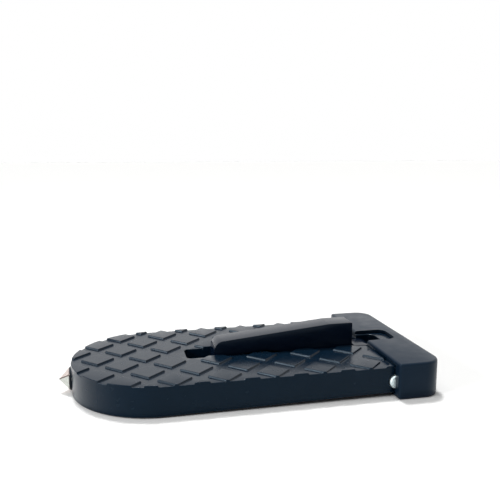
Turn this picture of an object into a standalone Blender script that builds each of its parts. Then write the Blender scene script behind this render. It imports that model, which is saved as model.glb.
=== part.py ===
"""Folding step for a car door latch, folded flat, in metres with +Z up.

The pedal lies along X with its round nose at -X, and everything is laid out from the nose.
The hook turns about the hinge pin, which runs along Y through the pedal's tail.
"""
import math

import bmesh
import bpy

OBJECT_NAME = "car_door_latch_step"

# Fits
FIT_GAP = 0.0003            # space between neighbouring pieces
CUT_MARGIN = 0.004          # how far a cutter runs past the faces that it opens

# Pedal casting
PEDAL_WIDTH = 0.085
PEDAL_LENGTH = 0.172        # from the nose to the end of the tail inside the bumper
PEDAL_HEIGHT = 0.0148       # from the ground to the floor of the tread
FOOT_ROUNDING = 0.0006      # along the bottom edge
TAIL_CORNER_RADIUS = 0.004
TAIL_LENGTH = 0.0181        # the part of the pedal that the bumper covers
TAIL_PAD_RISE = 0.0014      # the tail's flat pad above the floor of the tread
TAIL_UNDERCUT = 0.002       # the tail's underside above the ground, which it leaves at the nose

# Tread
TILE_PITCH = 0.02334        # along and across the pedal, with a second row set between
TILE_DIAGONAL = 0.0165      # corner to corner at the foot of a tile
TILE_HEIGHT = 0.00085
TILE_DRAFT = 0.0004         # how far a side leans in over the tile's height
FIRST_TILE = 0.013          # from the nose to the first tile's centre

# Slot for the hook
FINGER_GAP = 0.014          # in front of the folded hook
SLOT_FRONT_RADIUS = 0.0025
SLOT_BACK_RADIUS = 0.0045
SWING_GAP = 0.003           # behind the hook's eye

# Hollow underside
SIDE_WALL = 0.004
SLOT_WALL = 0.005
TREAD_SKIN = 0.0045
RIB_THICKNESS = 0.003
RIB_COUNT = 5               # across the pedal, evenly spaced
POCKET_ROUNDING = 0.001
SPINE_THICKNESS = 0.004
NOSE_BLOCK_WIDTH = 0.014
NOSE_BLOCK_LENGTH = 0.017
HINGE_BLOCK_LENGTH = 0.007  # solid metal in front of the pin

# Hinge
PIN_DIAMETER = 0.0066
PIN_HEIGHT = 0.0078
PIN_FROM_TAIL_END = 0.0178
PIN_PROUD = 0.0015          # each end past the side of the pedal
PIN_CHAMFER = 0.0005
WASHER_THICKNESS = 0.0007
WASHER_DIAMETER = 0.0124

# Hook, folded, with lengths from the pin towards the nose and heights above the pin
HOOK_THICKNESS = 0.012
HOOK_EDGE = 0.0005          # rounding
EYE_RADIUS = 0.0067
HEEL_OFFSET = 0.008         # pin to the upright face of the heel
HEEL_HEIGHT = 0.0198
HEEL_FLAT = 0.013           # level top behind the sloping back
HEEL_BEND_RADIUS = 0.0033   # between the level top and the sloping back
HEEL_CORNER_RADIUS = 0.0008
LEDGE_RADIUS = 0.0025       # between the eye's flat top and the heel
CROWN_LENGTH = 0.0726       # centre of the crown's round end
CROWN_HEIGHT = 0.0036
CROWN_RADIUS = 0.0106
BACK_END_ALONG = 0.0102     # end of the sloping back, past the crown's centre
BACK_END_RISE = 0.0103      # and above it
BACK_CORNER_RADIUS = 0.005
THROAT_SETBACK = 0.0023     # crown's centre to the centre of the throat that drops over the striker
THROAT_DROP = 0.0018
THROAT_RADIUS = 0.0056
THROAT_LEAVE_ANGLE = 55     # where the arm's inner edge leaves the throat, in degrees
TIP_ANGLE = -102            # where the crown's round end stops, in degrees
MOUTH_SETBACK = 0.0161      # crown's centre to where the arm's inner edge bends into the throat
MOUTH_RISE = 0.0046
MOUTH_RADIUS = 0.012
ARM_ROOT_LENGTH = 0.0215    # where the inner edge turns down to the eye
ARM_ROOT_HEIGHT = 0.0033
ARM_ROOT_RADIUS = 0.008
EYE_LEAVE_ANGLE = -62       # where the inner edge leaves the eye, in degrees

# Rubber bumper round the tail
BUMPER_SIDE = 0.005         # past the side of the pedal
BUMPER_END = 0.0052         # past the end of the tail
BUMPER_LID = 0.0018         # above the tail's pad
BUMPER_CORNER_RADIUS = 0.009
BUMPER_ROUNDING = 0.0012
BUMPER_SLOT_WIDTH = 0.0174
BUMPER_SLOT_LENGTH = 0.0169
BUMPER_SLOT_RADIUS = 0.0042

# Bumper screws, in the end face
SCREW_DIAMETER = 0.004
SCREW_LENGTH = 0.013
SCREW_HEAD_DIAMETER = 0.0074
SCREW_HEAD_SINK = 0.0011    # head below the bumper's face
SCREW_SPREAD = 0.052        # between the two screws
SCREW_HEIGHT = 0.009
DRIVE_WIDTH = 0.001
DRIVE_LENGTH = 0.0042
DRIVE_DEPTH = 0.0014

# Hammer tip in the nose
TIP_DIAMETER = 0.0112
TIP_CONE = 0.005            # length of the point
TIP_HEIGHT = 0.0067
TIP_SHANK_DIAMETER = 0.006
TIP_SHANK_LENGTH = 0.012
TIP_POINT_RADIUS = 0.0003
RING_THICKNESS = 0.00075
RING_DIAMETER = 0.0116
SPOT_FACE_DEPTH = 0.00045   # flat seat for the ring in the round nose

# Places along X, from the nose, that several pieces share
HALF_WIDTH = PEDAL_WIDTH / 2
BUMPER_START = PEDAL_LENGTH - TAIL_LENGTH
PIN_FROM_NOSE = PEDAL_LENGTH - PIN_FROM_TAIL_END
SLOT_WIDTH = HOOK_THICKNESS + 2 * (WASHER_THICKNESS + 2 * FIT_GAP)
SLOT_START = PIN_FROM_NOSE - CROWN_LENGTH - CROWN_RADIUS - FINGER_GAP
SLOT_END = PIN_FROM_NOSE + EYE_RADIUS + SWING_GAP
PAD_HEIGHT = PEDAL_HEIGHT + TAIL_PAD_RISE
BUMPER_HEIGHT = PAD_HEIGHT + BUMPER_LID
RING_BACK = SPOT_FACE_DEPTH - FIT_GAP
TIP_BASE = RING_BACK - RING_THICKNESS - FIT_GAP
TIP_APEX = TIP_BASE - TIP_CONE
BUMPER_BACK = PEDAL_LENGTH + BUMPER_END
NOSE_X = -(TIP_APEX + BUMPER_BACK) / 2      # puts the middle of the whole step at X = 0

ARC_STEP = 10               # degrees of arc for each straight side
ROUND_STEPS = 32            # sides of a turned piece


def clear_objects():
    for item in list(bpy.data.objects):
        bpy.data.objects.remove(item, do_unlink=True)


def new_collection(name):
    collection = bpy.data.collections.new(name)
    bpy.context.scene.collection.children.link(collection)
    return collection


def make_material(name, colour, roughness, metallic):
    material = bpy.data.materials.new(name)
    material.use_nodes = True
    shader = material.node_tree.nodes["Principled BSDF"]
    shader.inputs["Base Color"].default_value = (*colour, 1.0)
    shader.inputs["Roughness"].default_value = roughness
    shader.inputs["Metallic"].default_value = metallic
    return material


# Outlines

def arc(centre, radius, start, end):
    """Points on a circle from one angle to another, in degrees, ends included."""
    steps = max(2, math.ceil(abs(end - start) / ARC_STEP))
    points = []
    for step in range(steps + 1):
        angle = math.radians(start + (end - start) * step / steps)
        points.append((centre[0] + radius * math.cos(angle), centre[1] + radius * math.sin(angle)))
    return points


def fillet(before, corner, after, radius):
    """The arc of a given radius that rounds one corner of an outline."""
    to_before = math.atan2(before[1] - corner[1], before[0] - corner[0])
    to_after = math.atan2(after[1] - corner[1], after[0] - corner[0])
    opening = (to_after - to_before + math.pi) % (2 * math.pi) - math.pi
    room = min(math.dist(before, corner), math.dist(after, corner)) / 2
    radius = min(radius, room * math.tan(abs(opening) / 2))
    reach = radius / math.sin(abs(opening) / 2)
    middle = to_before + opening / 2
    centre = (corner[0] + reach * math.cos(middle), corner[1] + reach * math.sin(middle))
    side = math.copysign(math.pi / 2, opening)
    start = math.degrees(to_before - side)
    turn = math.degrees(abs(opening)) - 180
    end = start - math.copysign(turn, opening)
    return arc(centre, radius, start, end)


def rounded(corners):
    """An outline from corners (x, y, radius), where a radius of 0 leaves the corner sharp."""
    points = []
    for index, (x, y, radius) in enumerate(corners):
        if radius > 0:
            before = corners[index - 1][:2]
            after = corners[(index + 1) % len(corners)][:2]
            points += fillet(before, (x, y), after, radius)
        else:
            points.append((x, y))
    return points


def rounded_box(low_x, high_x, width, front_radius, back_radius):
    """A box outline about the centre line, with its own radius at each end."""
    half = width / 2
    return rounded([
        (low_x, -half, front_radius),
        (high_x, -half, back_radius),
        (high_x, half, back_radius),
        (low_x, half, front_radius),
    ])


# Solids

def add_mesh_object(name, mesh, collection):
    item = bpy.data.objects.new(name, mesh)
    collection.objects.link(item)
    return item


def prism(name, outline, low, high, collection):
    """A flat outline, laid out from the nose, raised between two heights."""
    curve = bpy.data.curves.new(name, "CURVE")
    curve.dimensions = "2D"
    curve.fill_mode = "BOTH"
    curve.extrude = (high - low) / 2
    spline = curve.splines.new("POLY")
    spline.points.add(len(outline) - 1)
    for point, (x, y) in zip(spline.points, outline):
        point.co = (x, y, 0, 1)
    spline.use_cyclic_u = True
    drawn = add_mesh_object(name + "_outline", curve, collection)
    drawn.location = (NOSE_X, 0, (low + high) / 2)
    bpy.context.view_layer.update()
    evaluated = drawn.evaluated_get(bpy.context.evaluated_depsgraph_get())
    mesh = bpy.data.meshes.new_from_object(evaluated)
    item = add_mesh_object(name, mesh, collection)
    item.matrix_world = drawn.matrix_world
    bpy.data.objects.remove(drawn, do_unlink=True)
    weld(mesh)
    return item


def weld(mesh):
    """Close the caps of a filled curve and make each cap one flat face."""
    shape = bmesh.new()
    shape.from_mesh(mesh)
    bmesh.ops.remove_doubles(shape, verts=shape.verts, dist=1e-6)
    bmesh.ops.dissolve_limit(shape, angle_limit=math.radians(0.1), verts=shape.verts, edges=shape.edges)
    bmesh.ops.recalc_face_normals(shape, faces=shape.faces)
    shape.to_mesh(mesh)
    shape.free()


def box(name, low, high, collection):
    """A box between two corners given from the nose."""
    shape = bmesh.new()
    bmesh.ops.create_cube(shape, size=1)
    size = [b - a for a, b in zip(low, high)]
    bmesh.ops.scale(shape, vec=size, verts=shape.verts)
    mesh = bpy.data.meshes.new(name)
    shape.to_mesh(mesh)
    shape.free()
    item = add_mesh_object(name, mesh, collection)
    item.location = [(a + b) / 2 for a, b in zip(low, high)]
    item.location.x += NOSE_X
    return item


def turned(name, profile, place, turn, collection, closed=False):
    """A profile (radius, height) spun about its own Z axis, then placed and turned."""
    shape = bmesh.new()
    points = [shape.verts.new((radius, 0, height)) for radius, height in profile]
    for first, second in zip(points, points[1:]):
        shape.edges.new((first, second))
    if closed:
        shape.edges.new((points[-1], points[0]))
    mesh = bpy.data.meshes.new(name)
    shape.to_mesh(mesh)
    shape.free()
    item = add_mesh_object(name, mesh, collection)
    item.location = (NOSE_X + place[0], place[1], place[2])
    item.rotation_euler = turn
    spin = item.modifiers.new("Spin", "SCREW")
    spin.axis = "Z"
    spin.angle = 2 * math.pi
    spin.steps = ROUND_STEPS
    spin.render_steps = ROUND_STEPS
    spin.use_merge_vertices = True
    spin.merge_threshold = 0.00001
    spin.use_smooth_shade = True
    return item


def rod_profile(radius, low, high):
    return [(0, high), (radius, high), (radius, low), (0, low)]


def bevel(item, width, segments):
    edge = item.modifiers.new("Rounded edges", "BEVEL")
    edge.width = width
    edge.segments = segments
    edge.limit_method = "ANGLE"
    edge.angle_limit = math.radians(40)
    return edge


def boolean(item, other, operation):
    step = item.modifiers.new(other.name, "BOOLEAN")
    step.operation = operation
    step.solver = "EXACT"
    step.object = other


def mark_cutter(item):
    item.hide_render = True
    item.display_type = "WIRE"


def cut(item, *cutters):
    for cutter in cutters:
        mark_cutter(cutter)
        boolean(item, cutter, "DIFFERENCE")


def finish(item, material):
    item.data.materials.clear()
    item.data.materials.append(material)
    item.data.shade_smooth()
    item.data.set_sharp_from_angle(angle=math.radians(30))


ALONG_Y = (math.pi / 2, 0, 0)
ALONG_X = (0, math.pi / 2, 0)
TOWARDS_NOSE = (0, -math.pi / 2, 0)


# Pedal

def pedal_outline(inset=0):
    """The pedal seen from above: a half-round nose and a square tail with rounded corners."""
    half = HALF_WIDTH - inset
    tail = PEDAL_LENGTH - inset
    nose = arc((HALF_WIDTH, 0), half, 90, 270)
    corner = max(TAIL_CORNER_RADIUS - inset, 0)
    sides = rounded([
        (HALF_WIDTH, -half, 0),
        (tail, -half, corner),
        (tail, half, corner),
        (HALF_WIDTH, half, 0),
    ])
    return nose + sides[1:-1]


def on_pedal(x, y):
    if x < HALF_WIDTH:
        return math.hypot(x - HALF_WIDTH, y) < HALF_WIDTH
    return abs(y) < HALF_WIDTH


def tile_centres():
    """Centres of the tiles, in two interleaved square grids, wherever a corner is on the pedal."""
    reach = TILE_DIAGONAL / 2
    columns = math.ceil(PEDAL_LENGTH / TILE_PITCH) + 1
    rows = math.ceil(PEDAL_WIDTH / TILE_PITCH) + 1
    centres = []
    for row in range(-rows, rows + 1):
        y = row * TILE_PITCH / 2
        for column in range(-1, columns):
            x = FIRST_TILE + (column + (row % 2) / 2) * TILE_PITCH
            corners = [(x + reach, y), (x - reach, y), (x, y + reach), (x, y - reach)]
            in_slot = x > SLOT_START and abs(y) < SLOT_WIDTH / 2
            under_bumper = x - reach > BUMPER_START
            if any(on_pedal(*corner) for corner in corners) and not in_slot and not under_bumper:
                centres.append((x, y))
    return centres


def make_tiles(collection):
    """Raised diamonds with leaning sides, as deep in the floor of the tread as they stand above it."""
    shape = bmesh.new()
    for x, y in tile_centres():
        made = bmesh.ops.create_cone(
            shape,
            cap_ends=True,
            segments=4,
            radius1=TILE_DIAGONAL / 2 + TILE_DRAFT,
            radius2=TILE_DIAGONAL / 2 - TILE_DRAFT,
            depth=2 * TILE_HEIGHT,
        )
        bmesh.ops.translate(shape, verts=made["verts"], vec=(x, y, PEDAL_HEIGHT))
    mesh = bpy.data.meshes.new("tread_tiles")
    shape.to_mesh(mesh)
    shape.free()
    item = add_mesh_object("tread_tiles", mesh, collection)
    item.location.x = NOSE_X
    return item


def make_underside_hollow(collection):
    """The space between the walls and ribs, open below."""
    ceiling = PEDAL_HEIGHT - TREAD_SKIN
    hollow = prism("underside_hollow", pedal_outline(SIDE_WALL), -CUT_MARGIN, ceiling, collection)
    low = -2 * CUT_MARGIN
    high = ceiling + CUT_MARGIN
    end = PEDAL_LENGTH + CUT_MARGIN
    surround_width = SLOT_WIDTH + 2 * SLOT_WALL
    surround_outline = rounded_box(SLOT_START - SLOT_WALL, end, surround_width, SLOT_FRONT_RADIUS, 0)
    left_solid = [prism("slot_surround", surround_outline, low, high, collection)]

    hinge_block = PIN_FROM_NOSE - HINGE_BLOCK_LENGTH
    stretches = [
        ("nose_block", -CUT_MARGIN, NOSE_BLOCK_LENGTH, NOSE_BLOCK_WIDTH),
        ("spine", -CUT_MARGIN, SLOT_START, SPINE_THICKNESS),
        ("hinge_block", hinge_block, end, PEDAL_WIDTH),
    ]
    bay = (hinge_block - SIDE_WALL - RIB_COUNT * RIB_THICKNESS) / (RIB_COUNT + 1)
    for number in range(RIB_COUNT):
        start = SIDE_WALL + bay + number * (bay + RIB_THICKNESS)
        stretches.append(("cross_rib_" + str(number + 1), start, start + RIB_THICKNESS, PEDAL_WIDTH))
    for name, start, stop, width in stretches:
        left_solid.append(box(name, (start, -width / 2, low), (stop, width / 2, high), collection))
    cut(hollow, *left_solid)
    bevel(hollow, POCKET_ROUNDING, 2)
    return hollow


def make_ground_wedge(collection):
    """The space below the pedal, which stands on its nose and, at the tail, on the bumper's floor."""
    low = -2 * CUT_MARGIN
    end = PEDAL_LENGTH + CUT_MARGIN
    before_nose = -CUT_MARGIN * TAIL_UNDERCUT / BUMPER_START
    side_view = [
        (-CUT_MARGIN, low),
        (end, low),
        (end, TAIL_UNDERCUT),
        (BUMPER_START, TAIL_UNDERCUT),
        (-CUT_MARGIN, before_nose),
    ]
    reach = HALF_WIDTH + CUT_MARGIN
    wedge = prism("ground_wedge", side_view, -reach, reach, collection)
    wedge.location = (NOSE_X, 0, 0)
    wedge.rotation_euler = ALONG_Y
    return wedge


def make_hook_slot(name, low, high, collection):
    outline = rounded_box(SLOT_START, SLOT_END, SLOT_WIDTH, SLOT_FRONT_RADIUS, SLOT_BACK_RADIUS)
    return prism(name, outline, low, high, collection)


def make_screw_bores(collection):
    """Holes in the tail for the bumper's screws."""
    bottom = SCREW_LENGTH + FIT_GAP
    radius = SCREW_DIAMETER / 2 + FIT_GAP
    bores = []
    for side, y in screw_places():
        profile = rod_profile(radius, -bottom, CUT_MARGIN)
        place = (BUMPER_BACK - SCREW_HEAD_SINK, y, SCREW_HEIGHT)
        bores.append(turned("screw_bore_" + side, profile, place, ALONG_X, collection))
    return bores


def make_pedal(parts, cutters, material):
    """One casting: tread on top, hook slot, ribbed hollow below and the hinge block at the tail."""
    low = -CUT_MARGIN
    pedal = box(
        "pedal_casting",
        (low, -HALF_WIDTH - CUT_MARGIN, low),
        (PEDAL_LENGTH + CUT_MARGIN, HALF_WIDTH + CUT_MARGIN, PEDAL_HEIGHT),
        parts)
    tiles = make_tiles(cutters)
    mark_cutter(tiles)
    boolean(pedal, tiles, "UNION")

    pad_start = BUMPER_START + FIT_GAP
    pad = box(
        "tail_pad",
        (pad_start, -HALF_WIDTH - CUT_MARGIN, PEDAL_HEIGHT - TAIL_PAD_RISE),
        (PEDAL_LENGTH + CUT_MARGIN, HALF_WIDTH + CUT_MARGIN, PAD_HEIGHT),
        cutters)
    mark_cutter(pad)
    boolean(pedal, pad, "UNION")

    shell = prism("pedal_shape", pedal_outline(), low, PAD_HEIGHT + CUT_MARGIN, cutters)
    cut(shell, make_ground_wedge(cutters))
    bevel(shell, FOOT_ROUNDING, 3)
    mark_cutter(shell)
    boolean(pedal, shell, "INTERSECT")

    pin_bore = turned(
        "pedal_pin_bore",
        rod_profile(PIN_DIAMETER / 2 + FIT_GAP, -HALF_WIDTH - CUT_MARGIN, HALF_WIDTH + CUT_MARGIN),
        (PIN_FROM_NOSE, 0, PIN_HEIGHT), ALONG_Y, cutters)
    tip_bore = turned(
        "tip_bore",
        rod_profile(TIP_SHANK_DIAMETER / 2 + FIT_GAP, TIP_BASE - TIP_SHANK_LENGTH - FIT_GAP, CUT_MARGIN),
        (0, 0, TIP_HEIGHT), TOWARDS_NOSE, cutters)
    spot_face = turned(
        "tip_spot_face",
        rod_profile(RING_DIAMETER / 2 + FIT_GAP, -SPOT_FACE_DEPTH, CUT_MARGIN),
        (0, 0, TIP_HEIGHT), TOWARDS_NOSE, cutters)
    slot = make_hook_slot("hook_slot", low, PAD_HEIGHT + CUT_MARGIN, cutters)
    hollow = make_underside_hollow(cutters)
    cut(pedal, slot, hollow, pin_bore, tip_bore, spot_face, *make_screw_bores(cutters))
    finish(pedal, material)
    return pedal


# Bumper

def screw_places():
    return [("left", SCREW_SPREAD / 2), ("right", -SCREW_SPREAD / 2)]


def make_bumper(parts, cutters, material):
    """A rubber cap over the tail, open to the pedal, slotted for the hook."""
    half = HALF_WIDTH + BUMPER_SIDE
    outline = rounded([
        (BUMPER_START, -half, 0),
        (BUMPER_BACK, -half, BUMPER_CORNER_RADIUS),
        (BUMPER_BACK, half, BUMPER_CORNER_RADIUS),
        (BUMPER_START, half, 0),
    ])
    bumper = prism("end_bumper", outline, 0, BUMPER_HEIGHT, parts)
    bevel(bumper, BUMPER_ROUNDING, 3)

    tail_room = prism(
        "tail_room",
        rounded_box(BUMPER_START - CUT_MARGIN, PEDAL_LENGTH + FIT_GAP, PEDAL_WIDTH + 2 * FIT_GAP, 0,
                    TAIL_CORNER_RADIUS),
        TAIL_UNDERCUT - FIT_GAP, PAD_HEIGHT + FIT_GAP, cutters)
    lid_slot = prism(
        "lid_slot",
        rounded_box(BUMPER_START - CUT_MARGIN, BUMPER_START + BUMPER_SLOT_LENGTH, BUMPER_SLOT_WIDTH, 0,
                    BUMPER_SLOT_RADIUS),
        PAD_HEIGHT - CUT_MARGIN, BUMPER_HEIGHT + CUT_MARGIN, cutters)
    floor_slot = make_hook_slot("floor_slot", -CUT_MARGIN, PAD_HEIGHT, cutters)
    pin_end = HALF_WIDTH + PIN_PROUD + FIT_GAP
    pin_ends = turned(
        "pin_end_room",
        rod_profile(PIN_DIAMETER / 2 + FIT_GAP, -pin_end, pin_end),
        (PIN_FROM_NOSE, 0, PIN_HEIGHT), ALONG_Y, cutters)
    cut(bumper, tail_room, pin_ends, lid_slot, floor_slot, *make_screw_seats(cutters))
    finish(bumper, material)
    return bumper


def make_screw_seats(collection):
    """Countersunk holes through the bumper's end wall."""
    hole = SCREW_DIAMETER / 2 + FIT_GAP
    mouth = SCREW_HEAD_DIAMETER / 2 + FIT_GAP
    cone = (SCREW_HEAD_DIAMETER - SCREW_DIAMETER) / 2
    profile = [
        (0, CUT_MARGIN),
        (mouth, CUT_MARGIN),
        (mouth, -FIT_GAP),
        (hole, -cone - FIT_GAP),
        (hole, -SCREW_LENGTH),
        (0, -SCREW_LENGTH),
    ]
    seats = []
    for side, y in screw_places():
        place = (BUMPER_BACK - SCREW_HEAD_SINK, y, SCREW_HEIGHT)
        seats.append(turned("screw_seat_" + side, profile, place, ALONG_X, collection))
    return seats


def make_screws(parts, cutters, material):
    """Countersunk screws that hold the bumper on, with a cross in the head."""
    radius = SCREW_DIAMETER / 2
    head = SCREW_HEAD_DIAMETER / 2
    profile = [
        (0, 0),
        (head, 0),
        (radius, radius - head),
        (radius, -SCREW_LENGTH + radius / 2),
        (radius / 2, -SCREW_LENGTH),
        (0, -SCREW_LENGTH),
    ]
    face = BUMPER_BACK - SCREW_HEAD_SINK
    for side, y in screw_places():
        screw = turned("bumper_screw_" + side, profile, (face, y, SCREW_HEIGHT), ALONG_X, parts)
        for blade, (wide, tall) in enumerate([(DRIVE_LENGTH, DRIVE_WIDTH), (DRIVE_WIDTH, DRIVE_LENGTH)]):
            name = "drive_" + side + "_" + str(blade)
            low = (face - DRIVE_DEPTH, y - wide / 2, SCREW_HEIGHT - tall / 2)
            high = (face + CUT_MARGIN, y + wide / 2, SCREW_HEIGHT + tall / 2)
            cut(screw, box(name, low, high, cutters))
        finish(screw, material)


# Hook

def hook_outline():
    """The hook's side view about its pin: x towards the hinge end, y upwards."""
    crown = (CROWN_LENGTH, CROWN_HEIGHT)
    throat = (CROWN_LENGTH - THROAT_SETBACK, CROWN_HEIGHT - THROAT_DROP)
    tip_end = arc(crown, CROWN_RADIUS, TIP_ANGLE, TIP_ANGLE)[0]
    throat_start = arc(throat, THROAT_RADIUS, TIP_ANGLE, TIP_ANGLE)[0]
    tip_radius = math.dist(tip_end, throat_start) / 2
    tip_centre = ((tip_end[0] + throat_start[0]) / 2, (tip_end[1] + throat_start[1]) / 2)
    eye_leave = arc((0, 0), EYE_RADIUS, EYE_LEAVE_ANGLE, EYE_LEAVE_ANGLE)[0]

    eye = arc((0, 0), EYE_RADIUS, 360 + EYE_LEAVE_ANGLE, 90)
    top = rounded([
        (0, EYE_RADIUS, 0),
        (HEEL_OFFSET, EYE_RADIUS, LEDGE_RADIUS),
        (HEEL_OFFSET, HEEL_HEIGHT, HEEL_CORNER_RADIUS),
        (HEEL_OFFSET + HEEL_FLAT, HEEL_HEIGHT, HEEL_BEND_RADIUS),
        (CROWN_LENGTH + BACK_END_ALONG, CROWN_HEIGHT + BACK_END_RISE, BACK_CORNER_RADIUS),
        (CROWN_LENGTH + CROWN_RADIUS, CROWN_HEIGHT, 0),
    ])
    round_end = arc(crown, CROWN_RADIUS, 0, TIP_ANGLE)
    tip = arc(tip_centre, tip_radius, TIP_ANGLE, TIP_ANGLE - 180)
    inside = arc(throat, THROAT_RADIUS, TIP_ANGLE, THROAT_LEAVE_ANGLE)
    bottom = rounded([
        (*inside[-1], 0),
        (CROWN_LENGTH - MOUTH_SETBACK, CROWN_HEIGHT + MOUTH_RISE, MOUTH_RADIUS),
        (ARM_ROOT_LENGTH, ARM_ROOT_HEIGHT, ARM_ROOT_RADIUS),
        (*eye_leave, 0),
    ])
    points = eye[:-1] + top[:-1] + round_end[:-1] + tip[:-1] + inside[:-1] + bottom[:-1]
    return [(-along, up) for along, up in points]


def make_hook(parts, cutters, material):
    """The latch hook, lying in its slot, with its origin on the hinge pin."""
    half = HOOK_THICKNESS / 2
    hook = prism("latch_hook", hook_outline(), -half, half, parts)
    hook.location = (NOSE_X + PIN_FROM_NOSE, 0, PIN_HEIGHT)
    hook.rotation_euler = ALONG_Y
    bevel(hook, HOOK_EDGE, 2)
    bore = turned(
        "hook_pin_bore",
        rod_profile(PIN_DIAMETER / 2 + FIT_GAP, -half - CUT_MARGIN, half + CUT_MARGIN),
        (PIN_FROM_NOSE, 0, PIN_HEIGHT), ALONG_Y, cutters)
    cut(hook, bore)
    finish(hook, material)
    return hook


# Hinge

def make_pin(parts, material):
    radius = PIN_DIAMETER / 2
    end = HALF_WIDTH + PIN_PROUD
    profile = [
        (0, end),
        (radius - PIN_CHAMFER, end),
        (radius, end - PIN_CHAMFER),
        (radius, PIN_CHAMFER - end),
        (radius - PIN_CHAMFER, -end),
        (0, -end),
    ]
    pin = turned("hinge_pin", profile, (PIN_FROM_NOSE, 0, PIN_HEIGHT), ALONG_Y, parts)
    finish(pin, material)


def make_washers(parts, material):
    """Spacers that keep the hook in the middle of its slot."""
    inner = PIN_DIAMETER / 2 + FIT_GAP
    outer = WASHER_DIAMETER / 2
    half = WASHER_THICKNESS / 2
    profile = [(inner, half), (outer, half), (outer, -half), (inner, -half)]
    offset = HOOK_THICKNESS / 2 + FIT_GAP + half
    for name, y in (("hook_washer_left", offset), ("hook_washer_right", -offset)):
        washer = turned(name, profile, (PIN_FROM_NOSE, y, PIN_HEIGHT), ALONG_Y, parts, closed=True)
        finish(washer, material)


# Hammer tip

def make_hammer_tip(parts, material):
    """Hard cone with a shank that screws into the nose."""
    shank = TIP_SHANK_DIAMETER / 2
    profile = [
        (0, TIP_CONE),
        (TIP_POINT_RADIUS, TIP_CONE - TIP_POINT_RADIUS / 2),
        (TIP_DIAMETER / 2, 0),
        (shank, 0),
        (shank, -TIP_SHANK_LENGTH),
        (0, -TIP_SHANK_LENGTH),
    ]
    tip = turned("hammer_tip", profile, (TIP_BASE, 0, TIP_HEIGHT), TOWARDS_NOSE, parts)
    finish(tip, material)


def make_tip_ring(parts, material):
    inner = TIP_SHANK_DIAMETER / 2 + FIT_GAP
    outer = RING_DIAMETER / 2
    profile = [(inner, RING_THICKNESS), (outer, RING_THICKNESS), (outer, 0), (inner, 0)]
    place = (RING_BACK, 0, TIP_HEIGHT)
    ring = turned("hammer_tip_ring", profile, place, TOWARDS_NOSE, parts, closed=True)
    finish(ring, material)


def main():
    clear_objects()
    parts = new_collection(OBJECT_NAME)
    cutters = new_collection(OBJECT_NAME + "_cutters")
    make_pedal(parts, cutters, make_material("casting_black", (0.020, 0.022, 0.026), 0.38, 0.0))
    make_bumper(parts, cutters, make_material("bumper_rubber", (0.022, 0.023, 0.027), 0.5, 0.0))
    make_hook(parts, cutters, make_material("hook_black", (0.016, 0.017, 0.021), 0.35, 0.0))
    make_pin(parts, make_material("pin_steel", (0.62, 0.66, 0.67), 0.35, 1.0))
    make_washers(parts, make_material("washer_nylon", (0.03, 0.03, 0.03), 0.55, 0.0))
    make_screws(parts, cutters, make_material("screw_steel", (0.16, 0.16, 0.17), 0.4, 1.0))
    make_hammer_tip(parts, make_material("tip_steel", (0.66, 0.64, 0.62), 0.2, 1.0))
    make_tip_ring(parts, make_material("ring_rubber", (0.012, 0.012, 0.014), 0.6, 0.0))


main()
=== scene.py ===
"""Looks of the folding car door step: finer casting, bumper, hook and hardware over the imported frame.

Metres, +Z up. The pedal lies along X with its round nose at -X, and lengths along X are counted
from the nose, as in the part's own source.
"""
import math

import bmesh
import bpy
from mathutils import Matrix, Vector


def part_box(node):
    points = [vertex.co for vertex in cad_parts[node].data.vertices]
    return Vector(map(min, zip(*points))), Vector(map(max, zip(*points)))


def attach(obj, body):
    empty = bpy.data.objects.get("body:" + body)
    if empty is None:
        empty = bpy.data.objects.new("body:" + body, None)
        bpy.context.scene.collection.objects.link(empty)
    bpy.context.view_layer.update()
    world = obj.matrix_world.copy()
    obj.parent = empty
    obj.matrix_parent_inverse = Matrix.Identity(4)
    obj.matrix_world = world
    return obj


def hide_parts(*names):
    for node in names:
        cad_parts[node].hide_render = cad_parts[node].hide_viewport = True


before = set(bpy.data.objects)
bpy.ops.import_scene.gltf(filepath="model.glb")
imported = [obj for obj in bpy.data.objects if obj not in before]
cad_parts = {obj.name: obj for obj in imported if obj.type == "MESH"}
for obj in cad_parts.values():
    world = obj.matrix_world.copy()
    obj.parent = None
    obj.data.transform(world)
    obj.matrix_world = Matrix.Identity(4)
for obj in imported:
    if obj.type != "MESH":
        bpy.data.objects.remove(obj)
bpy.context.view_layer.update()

# Fits
FIT_GAP = 0.0003
CUT_MARGIN = 0.004

# Pedal casting
PEDAL_WIDTH = 0.085
PEDAL_LENGTH = 0.172
PEDAL_HEIGHT = 0.0148
FOOT_ROUNDING = 0.0006
TAIL_LENGTH = 0.0181
TAIL_CORNER_RADIUS = 0.004
TAIL_PAD_RISE = 0.0014
TAIL_UNDERCUT = 0.002
TAIL_EDGE = 0.0004
RIM_RADIUS = 0.0003         # along the top edge of the tread and the slot
SLOT_FOOT_RADIUS = 0.0004

# Tread
TILE_PITCH = 0.02334
TILE_DIAGONAL = 0.0165
TILE_HEIGHT = 0.00085
TILE_DRAFT = 0.0004
TILE_TOP_RADIUS = 0.0003
TILE_FOOT_RADIUS = 0.00025
TILE_HOLD = 0.00012         # strip of flat metal beside each rounding, which keeps the shading level
TILE_ARC_SKIP = 6           # of the points on a tile's small roundings, one in this many is used
FIRST_TILE = 0.013

# Slot for the hook
FINGER_GAP = 0.014
SLOT_FRONT_RADIUS = 0.0025
SLOT_BACK_RADIUS = 0.0045
SWING_GAP = 0.003

# Hollow underside
SIDE_WALL = 0.004
SLOT_WALL = 0.005
TREAD_SKIN = 0.0045
RIB_THICKNESS = 0.003
RIB_COUNT = 5
POCKET_ROUNDING = 0.001
SPINE_THICKNESS = 0.004
NOSE_BLOCK_WIDTH = 0.014
NOSE_BLOCK_LENGTH = 0.017
HINGE_BLOCK_LENGTH = 0.007

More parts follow.
